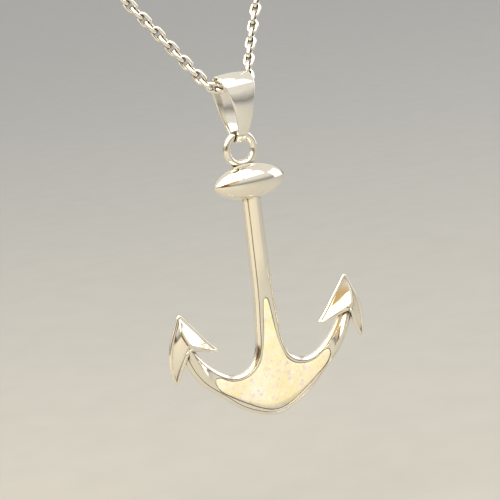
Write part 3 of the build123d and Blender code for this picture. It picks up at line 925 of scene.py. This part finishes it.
def make_chain(material):
    """Links at an even pitch along the route.

    A link's centre line is a stadium: two half circles of radius a, their middles b either side
    of the link's. Its plane holds the route's direction and a normal that points away from the
    neck's axis, turned a quarter each time.
    """
    right = [(-x, y, z) for x, y, z in reversed(CHAIN_LEFT)]
    line = spline_points("chain route", right + CHAIN_LEFT)
    length = np.concatenate([[0], np.cumsum(np.linalg.norm(np.diff(line, axis=0), axis=1))])
    reach = LINK_PITCH / 2
    count = int(length[-1] // LINK_PITCH)
    at = np.linspace(reach, length[-1] - reach, count)
    fore = np.stack([np.interp(at - reach, length, line[:, k]) for k in range(3)], axis=1)
    aft = np.stack([np.interp(at + reach, length, line[:, k]) for k in range(3)], axis=1)
    centre = (fore + aft) / 2
    along = unit(aft - fore)
    away = np.concatenate([centre[:, :2] - NECK_MIDDLE, np.zeros((count, 1))], axis=1)
    away = unit(away - along * np.sum(away * along, axis=1, keepdims=True))
    side = np.cross(along, away)
    turn = (LINK_PHASE + pi / 2 * (np.arange(count) % 2))[:, None]
    wide = np.cos(turn) * side + np.sin(turn) * away
    thick = np.cross(along, wide)
    a = LINK_WIDTH / 2 - LINK_WIRE
    b = (LINK_LENGTH - LINK_WIDTH) / 2
    t = (np.arange(LINK_STATIONS)[:, None] + 0.5) * 2 * pi / LINK_STATIONS
    w = np.arange(WIRE_SIDES)[None, :] * 2 * pi / WIRE_SIDES
    out = a + LINK_WIRE * np.cos(w)
    link_x = np.sign(np.cos(t)) * b + out * np.cos(t)
    link_y = out * np.sin(t)
    link_z = np.broadcast_to(LINK_WIRE * np.sin(w), link_x.shape)
    points = (
        centre[:, None, None]
        + along[:, None, None] * link_x[None, ..., None]
        + wide[:, None, None] * link_y[None, ..., None]
        + thick[:, None, None] * link_z[None, ..., None]
    )
    one = grid_faces(LINK_STATIONS, WIRE_SIDES, True)
    first = np.arange(count)[:, None, None] * LINK_STATIONS * WIRE_SIDES
    faces = (one[None] + first).reshape(-1, 4)
    make_piece("cable_chain", points, faces, "necklace", "chain", material, 0)


# Almost without waves, because the wire keeps the die's smooth skin: the links glitter.
drawn_silver = polished_silver(
    "drawn silver wire", "#FDFBF5", "#F2EEE2", roughness=0.09, ripple=0.002, ripple_size=0.6)
make_chain(drawn_silver)

# Clasp and its two rings. A plain flat clasp stamped from silver, with an eye at each end, and
# a closed wire ring in each eye that the chain's end hangs in. Their silver is the dullest here,
# because the nape rubs it and no one buffs it.
stamped_silver = polished_silver(
    "stamped silver", "#F6F1E6", "#DDD5C4", roughness=0.12, ripple=0.004, ripple_size=1.5)
for name in ("clasp", "left_end_ring", "right_end_ring"):
    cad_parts[name].material_slots[0].material = stamped_silver

# Floor. A wide board, well below the crown. It is pale and matt, so it mirrors nothing, and its
# fibres mottle it very faintly.
FLOOR_DROP = 16.0         # below the crown's lowest point
FLOOR_REACH = 6000.0
BOARD_FIBRE = 6.0         # across its mottle
BOARD_COLOURS = ("#9FA1A3", "#A7A9AB")
floor_z = (CROWN[2] - FLOOR_DROP) * MM
reach = FLOOR_REACH * MM
floor_corners = [
    (-reach, -reach, floor_z),
    (reach, -reach, floor_z),
    (reach, reach, floor_z),
    (-reach, reach, floor_z),
]
floor_mesh = bpy.data.meshes.new("floor")
floor_mesh.from_pydata(floor_corners, [], [(0, 1, 2, 3)])
board = bpy.data.materials.new("pale matt board")
board.use_nodes = True
tree = board.node_tree
tree.nodes.clear()
place = add(tree, "TexCoord", {})
fibre = add(tree, "TexNoise", {
    "Vector": place.outputs["Object"], "Scale": 1 / (BOARD_FIBRE * MM), "Detail": 4.0})
tone = add(tree, "Mix", {
    0: fibre.outputs[0], 6: colour(BOARD_COLOURS[0]), 7: colour(BOARD_COLOURS[1])},
    data_type="RGBA")
sheet = add(tree, "BsdfPrincipled", {"Base Color": tone.outputs[2], "Roughness": 0.8})
add(tree, "OutputMaterial", {"Surface": sheet.outputs["BSDF"]})
floor_mesh.materials.append(board)
floor = bpy.data.objects.new("floor", floor_mesh)
bpy.context.scene.collection.objects.link(floor)

# Light. Soft boxes round the pendant in a quiet room that is darkest at eye level, so that the
# silver mirrors bright boxes, the lit board and dim walls. The left is warmer than the right.
LIGHTS = [
    # name, azimuth and height in degrees, distance, width, height in mm, radiance, tint
    ("key", -72, 45, 650, 520, 360, 1.3, "#FFF6E8"),
    ("right", 84, 14, 650, 460, 460, 0.9, "#F5F3FF"),
    ("front", 32, 47, 650, 460, 300, 1.3, "#FFFEFA"),
    ("board", -62, 38, 440, 640, 480, 2.8, "#FFE9BC"),
    ("amber", -97, 1, 320, 90, 60, 1.0, "#E89A58"),
]
LIGHT_HEIGHT = 14.0       # point that they face, above the crown's lowest point
LIGHT_MIDDLE = (CROWN + [0, 0, LIGHT_HEIGHT]) * MM
SKY_STRENGTH = 0.6        # broad light from above, as from a white ceiling
SKY_SPREAD = radians(70)
SKY_TILT = (radians(12), radians(-10), 0)
ROOM_STRENGTH = 0.82
# Walls of the room. Columns: height as the sine of the angle above the level, colour.
WALLS = [
    (0.02, "#A19B93"),
    (0.30, "#FFFBF2"),
]
# Warm patches on the walls, which the silver's facets mirror.
ALCOVES = [
    # azimuth and height in degrees, degrees from its middle where it begins and is full, tint
    (-44, 10, 22, 10, "#80603F"),
    (-20, 27, 17, 7, "#E4C590"),
]


def hang_light(name, azimuth, height, distance, width, tall, radiance, tint):
    """Rectangular soft box that faces the pendant from a distance, or the board straight down."""
    data = bpy.data.lights.new(name, "AREA")
    data.shape = "RECTANGLE"
    data.size = width * MM
    data.size_y = tall * MM
    data.energy = radiance * pi * data.size * data.size_y
    data.color = colour(tint)[:3]
    lamp = bpy.data.objects.new(name, data)
    turn = Matrix.Rotation(radians(azimuth), 4, "Z") @ Matrix.Rotation(radians(90 - height), 4, "X")
    spot = Vector(LIGHT_MIDDLE) + turn @ Vector((0, 0, distance * MM))
    lamp.matrix_world = Matrix.Translation(spot) @ (Matrix.Identity(4) if name == "board" else turn)
    bpy.context.scene.collection.objects.link(lamp)


for row in LIGHTS:
    hang_light(*row)
sky_data = bpy.data.lights.new("sky", "SUN")
sky_data.energy = SKY_STRENGTH
sky_data.angle = SKY_SPREAD
sky = bpy.data.objects.new("sky", sky_data)
sky.rotation_euler = SKY_TILT
bpy.context.scene.collection.objects.link(sky)
world = bpy.data.worlds.new("room")
world.use_nodes = True
tree = world.node_tree
tree.nodes.clear()
way = add(tree, "TexCoord", {})
climb = add(tree, "SeparateXYZ", {0: way.outputs["Generated"]})
walls = add(tree, "ValToRGB", {"Fac": climb.outputs["Z"]})
for stop, (height, tint) in zip(walls.color_ramp.elements, WALLS):
    stop.position = height
    stop.color = colour(tint)
wall_colour = walls.outputs["Color"]
for azimuth, height, begins, full, tint in ALCOVES:
    level = radians(height)
    aside = Matrix.Rotation(radians(azimuth), 3, "Z") @ Vector((0, -cos(level), sin(level)))
    facing = add(tree, "VectorMath", {
        0: way.outputs["Generated"], 1: aside}, operation="DOT_PRODUCT")
    alcove = add(tree, "MapRange", {
        "Value": facing.outputs["Value"], "From Min": cos(radians(begins)),
        "From Max": cos(radians(full)), "To Min": 0.0, "To Max": 1.0})
    wall_colour = add(tree, "Mix", {
        0: alcove.outputs[0], 6: wall_colour, 7: colour(tint)}, data_type="RGBA").outputs[2]
room = add(tree, "Background", {"Color": wall_colour, "Strength": ROOM_STRENGTH})
add(tree, "OutputWorld", {"Surface": room.outputs["Background"]})
bpy.context.scene.world = world
bpy.context.scene.view_settings.view_transform = "Standard"
